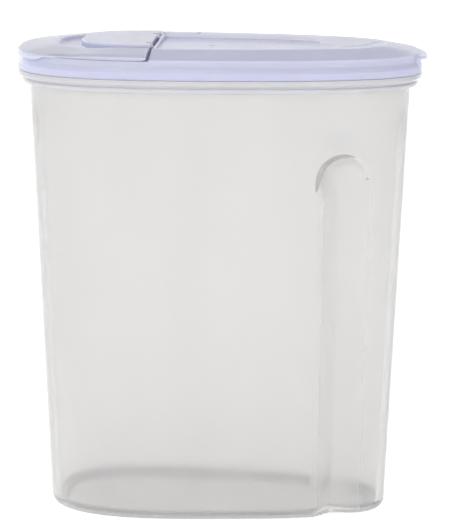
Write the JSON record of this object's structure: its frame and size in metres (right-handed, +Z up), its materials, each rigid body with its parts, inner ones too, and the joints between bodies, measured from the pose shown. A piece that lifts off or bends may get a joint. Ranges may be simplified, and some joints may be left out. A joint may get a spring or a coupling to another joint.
{
  "type": "cereal container",
  "caption": "Tall egg-plan dry food keeper with side grip recesses, a lift-off lid with a rolled skirt, and a hinged flip cover over the pour mouth",
  "frame": {"origin": "on the base plane, under the middle of the rim flange's length and on the plane of symmetry", "axes": "+Z up; +X from the flip cover at the spout end to the grip recesses and pull tab; +Y towards the back; the part is symmetric about Y = 0"},
  "size_m": [0.2433, 0.1186, 0.2892],
  "materials": {
    "body_plastic": "milky translucent polypropylene, satin outside, glossy bands where the wall turns",
    "lid_plastic": "pale lavender translucent polyethylene, soft satin",
    "cover_plastic": "pale lavender translucent polyethylene, soft satin"
  },
  "bodies": {
    "container": {"container": "body_plastic"},
    "lid": {"lid": "lid_plastic"},
    "flip_cover": {"flip_cover": "cover_plastic"}
  },
  "joints": [
    {"name": "lid_lift", "type": "slide", "parent": "container", "child": "lid", "axis": [0, 0, 1], "range_m": [0, 0.05]},
    {"name": "cover_hinge", "type": "hinge", "parent": "lid", "child": "flip_cover", "pos_m": [-0.0404, 0, 0.2867], "axis": [0, 1, 0], "range_deg": [0, 110]}
  ]
}
